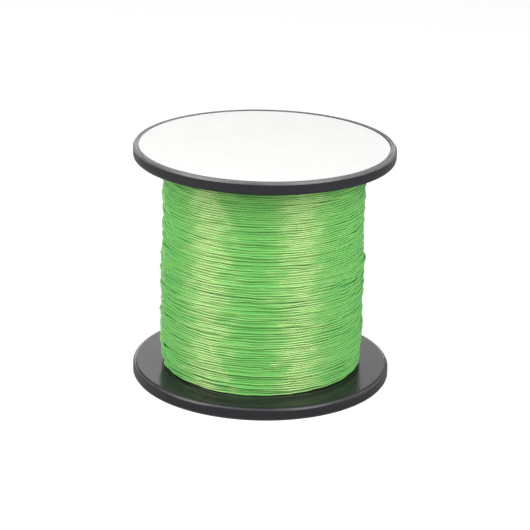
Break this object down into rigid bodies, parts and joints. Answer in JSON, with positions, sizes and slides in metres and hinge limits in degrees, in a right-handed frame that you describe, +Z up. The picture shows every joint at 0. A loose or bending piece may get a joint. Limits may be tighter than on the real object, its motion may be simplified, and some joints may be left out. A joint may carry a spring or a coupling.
{
  "type": "fishing line spool",
  "caption": "Upright bulk spool of green braided fishing line with black moulded flanges and a blank white label disc on top.",
  "frame": {"origin": "centre of the face that the spool stands on", "axes": "+Z up along the spool's axis, from the ribbed flange to the labelled one; -Y is the front"},
  "size_m": [0.076, 0.076, 0.0703],
  "materials": {
    "spool_plastic": "gloss",
    "barrel_plastic": "satin",
    "line": "satin",
    "label_card": "satin",
    "tape": "matte"
  },
  "bodies": {
    "root": {"bottom_flange": "spool_plastic", "top_flange": "spool_plastic", "barrel": "barrel_plastic", "anchor_tape": "tape", "line_pack": "line", "line_top_layer": "line", "top_label": "label_card"}
  },
  "joints": []
}
